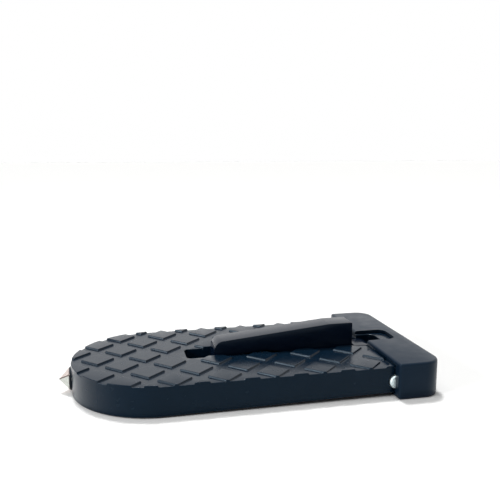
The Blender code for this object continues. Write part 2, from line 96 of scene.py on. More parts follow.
# Hinge
PIN_DIAMETER = 0.0066
PIN_HEIGHT = 0.0078
PIN_FROM_TAIL_END = 0.0178
PIN_PROUD = 0.0015
PIN_CHAMFER = 0.0005
WASHER_THICKNESS = 0.0007

# Hook, folded, with lengths from the pin towards the nose and heights above the pin
HOOK_THICKNESS = 0.012
HOOK_EDGE = 0.0006
EYE_RADIUS = 0.0067
HEEL_OFFSET = 0.008
HEEL_HEIGHT = 0.0198
HEEL_FLAT = 0.013
HEEL_BEND_RADIUS = 0.0033
HEEL_CORNER_RADIUS = 0.0008
LEDGE_RADIUS = 0.0025
CROWN_LENGTH = 0.0726
CROWN_HEIGHT = 0.0036
CROWN_RADIUS = 0.0106
BACK_END_ALONG = 0.0102
BACK_END_RISE = 0.0103
BACK_CORNER_RADIUS = 0.005
THROAT_SETBACK = 0.0023
THROAT_DROP = 0.0018
THROAT_RADIUS = 0.0056
THROAT_LEAVE_ANGLE = 55
TIP_ANGLE = -102
MOUTH_SETBACK = 0.0161
MOUTH_RISE = 0.0046
MOUTH_RADIUS = 0.012
ARM_ROOT_LENGTH = 0.0215
ARM_ROOT_HEIGHT = 0.0033
ARM_ROOT_RADIUS = 0.008
EYE_LEAVE_ANGLE = -62

# Rubber bumper
BUMPER_SIDE = 0.005
BUMPER_END = 0.0052
BUMPER_LID = 0.0018
BUMPER_CORNER_RADIUS = 0.009
BUMPER_ROUNDING = 0.0012
BUMPER_SLOT_WIDTH = 0.0174
BUMPER_SLOT_LENGTH = 0.0169
BUMPER_SLOT_RADIUS = 0.0042

# Bumper screws
SCREW_DIAMETER = 0.004
SCREW_LENGTH = 0.013
SCREW_HEAD_DIAMETER = 0.0074
SCREW_HEAD_SINK = 0.0011
SCREW_SPREAD = 0.052
SCREW_HEIGHT = 0.009
DRIVE_WIDTH = 0.001
DRIVE_LENGTH = 0.0042
DRIVE_DEPTH = 0.0014

# Hammer tip
TIP_DIAMETER = 0.0112
TIP_CONE = 0.005
TIP_HEIGHT = 0.0067
TIP_SHANK_DIAMETER = 0.006
TIP_SHANK_LENGTH = 0.012
TIP_POINT_RADIUS = 0.0003
RING_THICKNESS = 0.00075
RING_DIAMETER = 0.0116
SPOT_FACE_DEPTH = 0.00045

# Camera, fitted to the tread's square grid
CAMERA_PLACE = (-0.06406, -0.30437, 0.11891)
CAMERA_TURN = (80.749, 0, -12.895)
CAMERA_LENS = 44.218

# Places that several pieces share
NOSE_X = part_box("pedal_casting")[1].x - PEDAL_LENGTH
HALF_WIDTH = PEDAL_WIDTH / 2
BUMPER_START = PEDAL_LENGTH - TAIL_LENGTH
PIN_FROM_NOSE = PEDAL_LENGTH - PIN_FROM_TAIL_END
SLOT_WIDTH = HOOK_THICKNESS + 2 * (WASHER_THICKNESS + 2 * FIT_GAP)
SLOT_START = PIN_FROM_NOSE - CROWN_LENGTH - CROWN_RADIUS - FINGER_GAP
SLOT_END = PIN_FROM_NOSE + EYE_RADIUS + SWING_GAP
PAD_HEIGHT = PEDAL_HEIGHT + TAIL_PAD_RISE
BUMPER_HEIGHT = PAD_HEIGHT + BUMPER_LID
BUMPER_BACK = PEDAL_LENGTH + BUMPER_END
TREAD_END = BUMPER_START - FIT_GAP
RING_BACK = SPOT_FACE_DEPTH - FIT_GAP
TIP_BASE = RING_BACK - RING_THICKNESS - FIT_GAP

ARC_STEP = 3                # degrees of arc for each straight side
NOSE_STEP = 1.5             # the same, round the nose
RIM_STEPS = 4               # straight sides in the quarter turn of a rim or foot
ROUND_STEPS = 64            # sides of a turned piece
BEVEL_ANGLE = 35            # degrees from which an edge is bevelled
SHARP_ANGLE = 30            # degrees from which an edge is shaded sharp
AXIS_MERGE = 0.000001       # points of a turned piece closer than this are merged, as on its axis
HAIR = 0.0000005            # what the cuts leave apart is merged up to this distance
WALL_NEAR = 0.00001         # how close to the pedal's outline counts as on its wall
WALL_FACING = 0.9           # how far a face there has to face outwards, where 1 is straight outwards
TOP_FACING = 0.2            # the same for a face of the tread, upwards
TREAD_MERGE = 0.000002      # points of the tread closer than this are merged before it grows its rim
ALONG_X = (0, math.pi / 2, 0)
ALONG_Y = (math.pi / 2, 0, 0)
TOWARDS_NOSE = (0, -math.pi / 2, 0)


# Outlines

def arc(centre, radius, start, end, step_angle=ARC_STEP):
    """Points on a circle from one angle to another, in degrees, ends included."""
    steps = max(2, math.ceil(abs(end - start) / step_angle))
    points = []
    for step in range(steps + 1):
        angle = math.radians(start + (end - start) * step / steps)
        points.append((centre[0] + radius * math.cos(angle), centre[1] + radius * math.sin(angle)))
    return points


def fillet(before, corner, after, radius):
    """The arc of a given radius that rounds one corner of an outline."""
    to_before = math.atan2(before[1] - corner[1], before[0] - corner[0])
    to_after = math.atan2(after[1] - corner[1], after[0] - corner[0])
    opening = (to_after - to_before + math.pi) % (2 * math.pi) - math.pi
    room = min(math.dist(before, corner), math.dist(after, corner)) / 2
    radius = min(radius, room * math.tan(abs(opening) / 2))
    reach = radius / math.sin(abs(opening) / 2)
    middle = to_before + opening / 2
    centre = (corner[0] + reach * math.cos(middle), corner[1] + reach * math.sin(middle))
    start = math.degrees(to_before - math.copysign(math.pi / 2, opening))
    turn = math.degrees(abs(opening)) - 180
    return arc(centre, radius, start, start - math.copysign(turn, opening))


def rounded(corners):
    """An outline from corners (x, y, radius), where a radius of 0 leaves the corner sharp."""
    points = []
    for index, (x, y, radius) in enumerate(corners):
        if radius > 0:
            before = corners[index - 1][:2]
            after = corners[(index + 1) % len(corners)][:2]
            points += fillet(before, (x, y), after, radius)
        else:
            points.append((x, y))
    return points


def rounded_box(low_x, high_x, width, front_radius, back_radius):
    half = width / 2
    return rounded([
        (low_x, -half, front_radius),
        (high_x, -half, back_radius),
        (high_x, half, back_radius),
        (low_x, half, front_radius),
    ])


# Solids

def add_piece(name, shape):
    """A new object from a bmesh, which is freed."""
    mesh = bpy.data.meshes.new(name)
    bmesh.ops.recalc_face_normals(shape, faces=shape.faces)
    shape.to_mesh(mesh)
    shape.free()
    piece = bpy.data.objects.new(name, mesh)
    bpy.context.scene.collection.objects.link(piece)
    return piece


def prism(name, outline, low, high, turn=None, place=None):
    """A flat outline raised between two heights. Its lengths are from the nose, unless it is placed."""
    shape = bmesh.new()
    base = shape.faces.new([shape.verts.new((x, y, low)) for x, y in outline])
    raised = bmesh.ops.extrude_face_region(shape, geom=[base])
    tops = [item for item in raised["geom"] if isinstance(item, bmesh.types.BMVert)]
    bmesh.ops.translate(shape, verts=tops, vec=(0, 0, high - low))
    piece = add_piece(name, shape)
    if turn is None:
        piece.location.x = NOSE_X
    else:
        piece.rotation_euler = turn
        piece.location = (NOSE_X + place[0], place[1], place[2])
    return piece


def box(name, low, high):
    outline = [(low[0], low[1]), (high[0], low[1]), (high[0], high[1]), (low[0], high[1])]
    return prism(name, outline, low[2], high[2])


def turned(name, profile, place, turn, closed=False):
    """A profile (radius, height) spun about its own Z axis, then placed and turned."""
    shape = bmesh.new()
    points = [shape.verts.new((radius, 0, height)) for radius, height in profile]
    edges = [shape.edges.new(pair) for pair in zip(points, points[1:])]
    if closed:
        edges.append(shape.edges.new((points[-1], points[0])))
    bmesh.ops.spin(
        shape, geom=points + edges, cent=(0, 0, 0), axis=(0, 0, 1), angle=2 * math.pi,
        steps=ROUND_STEPS, use_merge=True)
    bmesh.ops.remove_doubles(shape, verts=shape.verts, dist=AXIS_MERGE)
    piece = add_piece(name, shape)
    piece.location = (NOSE_X + place[0], place[1], place[2])
    piece.rotation_euler = turn
    return piece


def rod_profile(radius, low, high):
    return [(0, high), (radius, high), (radius, low), (0, low)]


def bevel(piece, width, segments):
    edge = piece.modifiers.new("Rounded edges", "BEVEL")
    edge.width = width
    edge.segments = segments
    edge.limit_method = "ANGLE"
    edge.angle_limit = math.radians(BEVEL_ANGLE)


def combine(piece, other, operation):
    step = piece.modifiers.new(other.name, "BOOLEAN")
    step.operation = operation
    step.solver = "EXACT"
    step.object = other


def bake(piece, *used):
    """Keep the piece as its modifiers leave it, at the world's origin, and delete what they used."""
    bpy.context.view_layer.update()
    evaluated = piece.evaluated_get(bpy.context.evaluated_depsgraph_get())
    mesh = bpy.data.meshes.new_from_object(evaluated)
    mesh.transform(piece.matrix_world)
    piece.modifiers.clear()
    piece.data = mesh
    piece.location = (0, 0, 0)
    piece.rotation_euler = (0, 0, 0)
    for other in used:
        bpy.data.objects.remove(other, do_unlink=True)
    return piece


def dress(piece, node, body, material):
    """Shade the piece, give it its material and let it stand for a node of the frame."""
    piece.data.materials.clear()
    piece.data.materials.append(material)
    piece.data.shade_smooth()
    piece.data.set_sharp_from_angle(angle=math.radians(SHARP_ANGLE))
    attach(piece, body)
    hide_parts(node)


# Pedal casting

TILE_SPACING = TILE_PITCH / math.sqrt(2)    # between neighbouring tiles, square to their sides


def tile_place(across, along):
    """Centre of a tile from its two counts, each along one direction of the tiles' sides."""
    x = FIRST_TILE + (across - along) * TILE_PITCH / 2
    return x, (across + along) * TILE_PITCH / 2


def tile_stands(across, along):
    x, y = tile_place(across, along)
    in_slot = x > SLOT_START and abs(y) < SLOT_WIDTH / 2
    return not in_slot and x - TILE_DIAGONAL / 2 <= BUMPER_START


def tile_profile():
    """Section of one tile from its middle: (distance, share of the height)."""
    foot = TILE_DIAGONAL / 2 / math.sqrt(2)
    top = foot - TILE_DRAFT / math.sqrt(2)
    inner = (0, TILE_HEIGHT)
    outer = (TILE_SPACING / 2, 0)
    upper = fillet(inner, (top, TILE_HEIGHT), (foot, 0), TILE_TOP_RADIUS)
    lower = fillet((top, TILE_HEIGHT), (foot, 0), outer, TILE_FOOT_RADIUS)
    few = upper[::TILE_ARC_SKIP] + [upper[-1]] + lower[::TILE_ARC_SKIP] + [lower[-1]]
    held = [(few[0][0] - TILE_HOLD, TILE_HEIGHT)] + few + [(few[-1][0] + TILE_HOLD, 0)]
    return [(distance, height / TILE_HEIGHT) for distance, height in held]


def tread_lines(first, last):
    """Grid lines across a row of tiles: (place, tile's count, share of the height)."""
    profile = tile_profile()
    lines = []
    for count in range(first, last + 1):
        middle = count * TILE_SPACING
        lines += [(middle - distance, count, share) for distance, share in reversed(profile)]
        lines += [(middle + distance, count, share) for distance, share in profile]
    return lines


def make_tread_block():
    """A block whose top is the tread, on a grid that follows the tiles' sides."""
    reach = PEDAL_LENGTH + PEDAL_WIDTH
    count = math.ceil(reach / math.sqrt(2) / TILE_SPACING / 2)
    middle = round((PEDAL_LENGTH / 2 - FIRST_TILE) / math.sqrt(2) / TILE_SPACING)
    across = tread_lines(middle - count, middle + count)
    along = tread_lines(-middle - count, -middle + count)
    shape = bmesh.new()
    rows = []
    for u, tile_u, share_u in across:
        row = []
        for v, tile_v, share_v in along:
            height = TILE_HEIGHT * share_u * share_v if tile_stands(tile_u, tile_v) else 0
            x = FIRST_TILE + (u - v) / math.sqrt(2)
            row.append(shape.verts.new((x, (u + v) / math.sqrt(2), PEDAL_HEIGHT + height)))
        rows.append(row)
    for near, far in zip(rows, rows[1:]):
        for left in range(len(near) - 1):
            shape.faces.new((near[left], near[left + 1], far[left + 1], far[left]))
    skirt = bmesh.ops.extrude_edge_only(shape, edges=[e for e in shape.edges if e.is_boundary])
    for item in skirt["geom"]:
        if isinstance(item, bmesh.types.BMVert):
            item.co.z = PEDAL_HEIGHT - CUT_MARGIN
    bmesh.ops.holes_fill(shape, edges=[e for e in shape.edges if e.is_boundary])
    block = add_piece("tread_block", shape)
    block.location.x = NOSE_X
    return block


def tread_outline():
    """The top of the pedal inside its rounded rim, with the slot open to the hinge end."""
    half = HALF_WIDTH - RIM_RADIUS
    half_slot = SLOT_WIDTH / 2 + RIM_RADIUS
    end = TREAD_END - RIM_RADIUS
    start = SLOT_START - RIM_RADIUS
    corner = SLOT_FRONT_RADIUS + RIM_RADIUS
    nose = arc((HALF_WIDTH, 0), half, 90, 270, NOSE_STEP)
    slot = rounded([
        (start, -half_slot, corner),
        (start, half_slot, corner),
        (end, half_slot, 0),
        (end, -half_slot, 0),
    ])
    return nose + [(end, -half), (end, -half_slot)] + slot[:-2] + [(end, half_slot), (end, half)]


def rim_direction(x, y):
    """Which way the rim faces at a point of the tread's outline, and its radius at the foot."""
    side = math.copysign(1, y)
    half_slot = SLOT_WIDTH / 2 + RIM_RADIUS
    near = RIM_RADIUS / 10
    corner = SLOT_START + SLOT_FRONT_RADIUS
    end = TREAD_END - RIM_RADIUS - near
    if abs(y) < half_slot + near and x > SLOT_START - RIM_RADIUS - near:
        straight = half_slot - SLOT_FRONT_RADIUS - RIM_RADIUS
        if x > end:
            way = Vector((1, -side))
        elif x > corner:
            way = Vector((0, -side))
        elif abs(y) > straight:
            way = Vector((corner - x, side * straight - y)).normalized()
        else:
            way = Vector((1, 0))
        return way, SLOT_FOOT_RADIUS
    if x > end:
        return Vector((1, side if abs(y) > HALF_WIDTH - RIM_RADIUS - near else 0)), FOOT_ROUNDING
    if x < HALF_WIDTH:
        return Vector((x - HALF_WIDTH, y)).normalized(), FOOT_ROUNDING
    return Vector((0, side)), FOOT_ROUNDING


def rim_steps():
    """Quarter turns in shares of a radius: (outwards, down) for the rim, (inwards, up) for the foot."""
    turns = [math.radians(90 * step / RIM_STEPS) for step in range(1, RIM_STEPS + 1)]
    rim = [(math.sin(turn), 1 - math.cos(turn)) for turn in turns]
    foot = [(1 - math.cos(turn), 1 - math.sin(turn)) for turn in turns]
    return rim, [(0, 1)] + foot


def make_casting_body():
    """The casting up to its tail: tread, rounded rim, walls and an underside that rises to the tail."""
    block = make_tread_block()
    low = PEDAL_HEIGHT - CUT_MARGIN / 2
    keep = prism("tread_outline", tread_outline(), low, PEDAL_HEIGHT + CUT_MARGIN)
    combine(block, keep, "INTERSECT")
    bake(block, keep)
    shape = bmesh.new()
    shape.from_mesh(block.data)
    bmesh.ops.translate(shape, verts=shape.verts, vec=(-NOSE_X, 0, 0))
    lowest = PEDAL_HEIGHT - CUT_MARGIN / 4
    walls = [f for f in shape.faces if f.normal.z < TOP_FACING or f.calc_center_median().z < lowest]
    bmesh.ops.delete(shape, geom=walls, context="FACES")
    bmesh.ops.remove_doubles(shape, verts=shape.verts, dist=TREAD_MERGE)
    base = shape.verts.layers.float_vector.new("base")
    for vert in shape.verts:
        vert[base] = vert.co
    rim, foot = rim_steps()
    for outwards, down in rim:
        for vert in extend(shape):
            way, _ = rim_direction(vert[base].x, vert[base].y)
            vert.co.xy = vert[base].xy + way * RIM_RADIUS * outwards
            vert.co.z = vert[base].z - RIM_RADIUS * down
    for inwards, up in foot:
        for vert in extend(shape):
            way, radius = rim_direction(vert[base].x, vert[base].y)
            vert.co.xy = vert[base].xy + way * (RIM_RADIUS - radius * inwards)
            vert.co.z = radius * up + TAIL_UNDERCUT * vert.co.x / BUMPER_START
    bottom = [e for e in shape.edges if e.is_boundary]
    bmesh.ops.triangle_fill(shape, edges=bottom, use_beauty=True)
    bpy.data.objects.remove(block, do_unlink=True)
    body = add_piece("tread_casting", shape)
    body.location.x = NOSE_X
    return body


def extend(shape):
    """Another ring of faces along the open edge, as its new vertices."""
    grown = bmesh.ops.extrude_edge_only(shape, edges=[e for e in shape.edges if e.is_boundary])
    return [item for item in grown["geom"] if isinstance(item, bmesh.types.BMVert)]


def make_hollow():
    """The space between the walls and ribs below, as a cutter."""
    ceiling = PEDAL_HEIGHT - TREAD_SKIN
    half = HALF_WIDTH - SIDE_WALL
    end = PIN_FROM_NOSE - HINGE_BLOCK_LENGTH
    nose = arc((HALF_WIDTH, 0), half, 90, 270)
    hollow = prism("hollow", nose + [(end, -half), (end, half)], -CUT_MARGIN, ceiling)
    low = -2 * CUT_MARGIN
    high = ceiling + CUT_MARGIN
    width = SLOT_WIDTH + 2 * SLOT_WALL
    outline = rounded_box(SLOT_START - SLOT_WALL, end + CUT_MARGIN, width, SLOT_FRONT_RADIUS, 0)
    solid = [prism("slot_surround", outline, low, high)]
    stretches = [
        (-CUT_MARGIN, NOSE_BLOCK_LENGTH, NOSE_BLOCK_WIDTH),
        (-CUT_MARGIN, SLOT_START, SPINE_THICKNESS),
    ]
    bay = (end - SIDE_WALL - RIB_COUNT * RIB_THICKNESS) / (RIB_COUNT + 1)
    for number in range(RIB_COUNT):
        start = SIDE_WALL + bay + number * (bay + RIB_THICKNESS)
        stretches.append((start, start + RIB_THICKNESS, PEDAL_WIDTH))
    for start, stop, width in stretches:
        solid.append(box("rib", (start, -width / 2, low), (stop, width / 2, high)))
    for piece in solid:
        combine(hollow, piece, "DIFFERENCE")
    bevel(hollow, POCKET_ROUNDING, 3)
    return bake(hollow, *solid)


def make_tail():
    """The block inside the bumper, with its raised pad."""
    start = TREAD_END - 2 * RIM_RADIUS
    tail = prism(
        "tail",
        rounded_box(start, PEDAL_LENGTH, PEDAL_WIDTH, 0, TAIL_CORNER_RADIUS),
        TAIL_UNDERCUT, PEDAL_HEIGHT - TILE_HEIGHT / 2)
    pad = prism(
        "pad",
        rounded_box(BUMPER_START + FIT_GAP, PEDAL_LENGTH, PEDAL_WIDTH, 0, TAIL_CORNER_RADIUS),
        PEDAL_HEIGHT - TILE_HEIGHT, PAD_HEIGHT)
    combine(tail, pad, "UNION")
    opening = rounded_box(start - CUT_MARGIN, SLOT_END, SLOT_WIDTH, 0, SLOT_BACK_RADIUS)
    slot = prism("tail_slot", opening, -CUT_MARGIN, PAD_HEIGHT + CUT_MARGIN)
    combine(tail, slot, "DIFFERENCE")
    bake(tail, pad, slot)
    bevel(tail, TAIL_EDGE, 3)
    return bake(tail)


def mend(piece):
    """Merge what the cuts left a hair apart, and close the cracks between."""
    shape = bmesh.new()
    shape.from_mesh(piece.data)
    bmesh.ops.remove_doubles(shape, verts=shape.verts, dist=HAIR)
    bmesh.ops.dissolve_degenerate(shape, edges=shape.edges, dist=HAIR)
    bmesh.ops.holes_fill(shape, edges=[e for e in shape.edges if e.is_boundary])
    shape.to_mesh(piece.data)
    shape.free()


def shade_wall(mesh):
    """Shade the casting's outer wall by its true curve, however its faces are cut."""
    normals = [corner.vector.copy() for corner in mesh.corner_normals]
    for face in mesh.polygons:
        for corner in face.loop_indices:
            place = mesh.vertices[mesh.loops[corner].vertex_index].co
            out = Vector((min(place.x - NOSE_X - HALF_WIDTH, 0), place.y, 0))
            facing = face.normal.dot(out.normalized())
            if abs(out.length - HALF_WIDTH) < WALL_NEAR and facing > WALL_FACING:
                normals[corner] = out.normalized()
    mesh.normals_split_custom_set(normals)


def screw_places():
    return [("left", SCREW_SPREAD / 2), ("right", -SCREW_SPREAD / 2)]


def make_casting(material):
    body = make_casting_body()
    tail = make_tail()
    combine(body, tail, "UNION")
    shank_end = TIP_BASE - TIP_SHANK_LENGTH - FIT_GAP
    cutters = [
        make_hollow(),
        turned(
            "pin_bore",
            rod_profile(PIN_DIAMETER / 2 + FIT_GAP, -HALF_WIDTH - CUT_MARGIN, HALF_WIDTH + CUT_MARGIN),
            (PIN_FROM_NOSE, 0, PIN_HEIGHT), ALONG_Y),
        turned(
            "tip_bore",
            rod_profile(TIP_SHANK_DIAMETER / 2 + FIT_GAP, shank_end, CUT_MARGIN),
            (0, 0, TIP_HEIGHT), TOWARDS_NOSE),
        turned(
            "spot_face",
            rod_profile(RING_DIAMETER / 2 + FIT_GAP, -SPOT_FACE_DEPTH, CUT_MARGIN),
            (0, 0, TIP_HEIGHT), TOWARDS_NOSE),
    ]
    for side, y in screw_places():
        profile = rod_profile(SCREW_DIAMETER / 2 + FIT_GAP, -SCREW_LENGTH - FIT_GAP, CUT_MARGIN)
        place = (BUMPER_BACK - SCREW_HEAD_SINK, y, SCREW_HEIGHT)
        cutters.append(turned("screw_bore_" + side, profile, place, ALONG_X))
    for cutter in cutters:
        combine(body, cutter, "DIFFERENCE")
    bake(body, tail, *cutters)
    mend(body)
    dress(body, "pedal_casting", "step", material)
    shade_wall(body.data)


# Bumper

def make_bumper(material):
    half = HALF_WIDTH + BUMPER_SIDE
    outline = rounded([
        (BUMPER_START, -half, 0),
        (BUMPER_BACK, -half, BUMPER_CORNER_RADIUS),
        (BUMPER_BACK, half, BUMPER_CORNER_RADIUS),
        (BUMPER_START, half, 0),
    ])
    bumper = prism("rubber_bumper", outline, 0, BUMPER_HEIGHT)
    bevel(bumper, BUMPER_ROUNDING, 4)
    before = BUMPER_START - CUT_MARGIN
    slot_end = BUMPER_START + BUMPER_SLOT_LENGTH
    pin_end = HALF_WIDTH + PIN_PROUD + FIT_GAP
    cutters = [
        prism(
            "tail_room",
            rounded_box(before, PEDAL_LENGTH + FIT_GAP, PEDAL_WIDTH + 2 * FIT_GAP, 0, TAIL_CORNER_RADIUS),
            TAIL_UNDERCUT - FIT_GAP, PAD_HEIGHT + FIT_GAP),
        turned(
            "pin_end_room",
            rod_profile(PIN_DIAMETER / 2 + FIT_GAP, -pin_end, pin_end),
            (PIN_FROM_NOSE, 0, PIN_HEIGHT), ALONG_Y),
        prism(
            "lid_slot",
            rounded_box(before, slot_end, BUMPER_SLOT_WIDTH, 0, BUMPER_SLOT_RADIUS),
            PAD_HEIGHT - CUT_MARGIN, BUMPER_HEIGHT + CUT_MARGIN),
        prism(
            "floor_slot",
            rounded_box(SLOT_START, SLOT_END, SLOT_WIDTH, SLOT_FRONT_RADIUS, SLOT_BACK_RADIUS),
            -CUT_MARGIN, PAD_HEIGHT),
    ]
    for side, y in screw_places():
        place = (BUMPER_BACK - SCREW_HEAD_SINK, y, SCREW_HEIGHT)
        cutters.append(turned("screw_seat_" + side, screw_seat_profile(), place, ALONG_X))
    for cutter in cutters:
        combine(bumper, cutter, "DIFFERENCE")
    bake(bumper, *cutters)
    dress(bumper, "end_bumper", "step", material)


def screw_seat_profile():
    hole = SCREW_DIAMETER / 2 + FIT_GAP
    mouth = SCREW_HEAD_DIAMETER / 2 + FIT_GAP
    cone = (SCREW_HEAD_DIAMETER - SCREW_DIAMETER) / 2
    return [
        (0, CUT_MARGIN),
        (mouth, CUT_MARGIN),
        (mouth, -FIT_GAP),
        (hole, -cone - FIT_GAP),
        (hole, -SCREW_LENGTH),
        (0, -SCREW_LENGTH),
    ]


def make_screws(material):
    radius = SCREW_DIAMETER / 2
    head = SCREW_HEAD_DIAMETER / 2
    profile = [
        (0, 0),
        (head, 0),
        (radius, radius - head),
        (radius, -SCREW_LENGTH + radius / 2),
        (radius / 2, -SCREW_LENGTH),
        (0, -SCREW_LENGTH),
    ]
    face = BUMPER_BACK - SCREW_HEAD_SINK
    for side, y in screw_places():
        screw = turned("cross_screw_" + side, profile, (face, y, SCREW_HEIGHT), ALONG_X)
        blades = []
        for wide, tall in ((DRIVE_LENGTH, DRIVE_WIDTH), (DRIVE_WIDTH, DRIVE_LENGTH)):
            low = (face - DRIVE_DEPTH, y - wide / 2, SCREW_HEIGHT - tall / 2)
            high = (face + CUT_MARGIN, y + wide / 2, SCREW_HEIGHT + tall / 2)
            blades.append(box("blade", low, high))
            combine(screw, blades[-1], "DIFFERENCE")
        bake(screw, *blades)
        dress(screw, "bumper_screw_" + side, "step", material)


# Hook

def hook_outline():
    """The hook's side view about its pin: x towards the hinge end, y upwards."""
    crown = (CROWN_LENGTH, CROWN_HEIGHT)
    throat = (CROWN_LENGTH - THROAT_SETBACK, CROWN_HEIGHT - THROAT_DROP)
    tip_end = arc(crown, CROWN_RADIUS, TIP_ANGLE, TIP_ANGLE)[0]
    throat_start = arc(throat, THROAT_RADIUS, TIP_ANGLE, TIP_ANGLE)[0]
    tip_radius = math.dist(tip_end, throat_start) / 2
    tip_centre = ((tip_end[0] + throat_start[0]) / 2, (tip_end[1] + throat_start[1]) / 2)
    eye_leave = arc((0, 0), EYE_RADIUS, EYE_LEAVE_ANGLE, EYE_LEAVE_ANGLE)[0]
    eye = arc((0, 0), EYE_RADIUS, 360 + EYE_LEAVE_ANGLE, 90)
    top = rounded([
        (0, EYE_RADIUS, 0),
        (HEEL_OFFSET, EYE_RADIUS, LEDGE_RADIUS),
        (HEEL_OFFSET, HEEL_HEIGHT, HEEL_CORNER_RADIUS),
        (HEEL_OFFSET + HEEL_FLAT, HEEL_HEIGHT, HEEL_BEND_RADIUS),
        (CROWN_LENGTH + BACK_END_ALONG, CROWN_HEIGHT + BACK_END_RISE, BACK_CORNER_RADIUS),
        (CROWN_LENGTH + CROWN_RADIUS, CROWN_HEIGHT, 0),
    ])
    round_end = arc(crown, CROWN_RADIUS, 0, TIP_ANGLE)
    tip = arc(tip_centre, tip_radius, TIP_ANGLE, TIP_ANGLE - 180)
    inside = arc(throat, THROAT_RADIUS, TIP_ANGLE, THROAT_LEAVE_ANGLE)
    bottom = rounded([
        (*inside[-1], 0),
        (CROWN_LENGTH - MOUTH_SETBACK, CROWN_HEIGHT + MOUTH_RISE, MOUTH_RADIUS),
        (ARM_ROOT_LENGTH, ARM_ROOT_HEIGHT, ARM_ROOT_RADIUS),
        (*eye_leave, 0),
    ])
    points = eye[:-1] + top[:-1] + round_end[:-1] + tip[:-1] + inside[:-1] + bottom[:-1]
    return [(-along, up) for along, up in points]


def make_hook(material):
    half = HOOK_THICKNESS / 2
    place = (PIN_FROM_NOSE, 0, PIN_HEIGHT)
    hook = prism("hook_arm", hook_outline(), -half, half, ALONG_Y, place)
    bevel(hook, HOOK_EDGE, 4)
    profile = rod_profile(PIN_DIAMETER / 2 + FIT_GAP, -half - CUT_MARGIN, half + CUT_MARGIN)
    bore = turned("hook_bore", profile, place, ALONG_Y)
    combine(hook, bore, "DIFFERENCE")
    bake(hook, bore)
    dress(hook, "latch_hook", "hook", material)


# Small steel pieces and the tip's ring

def make_pin(material):
    radius = PIN_DIAMETER / 2
    end = HALF_WIDTH + PIN_PROUD
    profile = [
        (0, end),
        (radius - PIN_CHAMFER, end),
        (radius, end - PIN_CHAMFER),
        (radius, PIN_CHAMFER - end),
        (radius - PIN_CHAMFER, -end),
        (0, -end),
    ]
    pin = bake(turned("steel_pin", profile, (PIN_FROM_NOSE, 0, PIN_HEIGHT), ALONG_Y))
    dress(pin, "hinge_pin", "step", material)


def make_tip(material):
    shank = TIP_SHANK_DIAMETER / 2
    profile = [
        (0, TIP_CONE),
        (TIP_POINT_RADIUS, TIP_CONE - TIP_POINT_RADIUS / 2),
        (TIP_DIAMETER / 2, 0),
        (shank, 0),
        (shank, -TIP_SHANK_LENGTH),
        (0, -TIP_SHANK_LENGTH),
    ]
    tip = bake(turned("hammer_cone", profile, (TIP_BASE, 0, TIP_HEIGHT), TOWARDS_NOSE))
    dress(tip, "hammer_tip", "step", material)


def make_ring(material):
    inner = TIP_SHANK_DIAMETER / 2 + FIT_GAP
    outer = RING_DIAMETER / 2
    profile = [(inner, RING_THICKNESS), (outer, RING_THICKNESS), (outer, 0), (inner, 0)]
    place = (RING_BACK, 0, TIP_HEIGHT)
    ring = bake(turned("cone_ring", profile, place, TOWARDS_NOSE, closed=True))
    dress(ring, "hammer_tip_ring", "step", material)


# Materials

# A noise's scale is the number of its features along a metre, and a depth is in metres
NOISE_RANGE = (0.3, 0.7)    # nearly all of the noise lies between these
COAT_SHEEN = (0.135, 0.175, 0.205)
COAT_CLOUDS = 90
COAT_GLOSS = 260
PEEL_SCALE = 600
PEEL_DEPTH = 0.000008
GRAIN_SCALE = 3500
GRAIN_DEPTH = 0.000004
RUBBER_SHEEN = (0.36, 0.50, 0.64)
RUBBER_CLOUDS = 60
RUBBER_GLOSS = 180
RUBBER_GRAIN_SCALE = 2600
RUBBER_GRAIN_DEPTH = 0.00001
STEEL_GLOSS = 1.7           # scale of the changes in gloss, as a share of the grain's
STEEL_ROUGH_SPREAD = 0.3
# Painted light on the tip: two opposite faces round the cone painted lighter as if lit, two darker as if
# shaded, and a painted dark reflection along the lines between them
TIP_PAINTED_LINE_ANGLE = 55         # from straight up to the line on the cone's side, in degrees
TIP_PAINTED_LINE_WIDTH = 0.0004
TIP_PAINTED_REFLECTION_COLOUR = (0.10, 0.07, 0.06)
TIP_PAINTED_FACE_SHADES = ((0.94, 1.0, 0.97), (1.25, 1.12, 1.08))


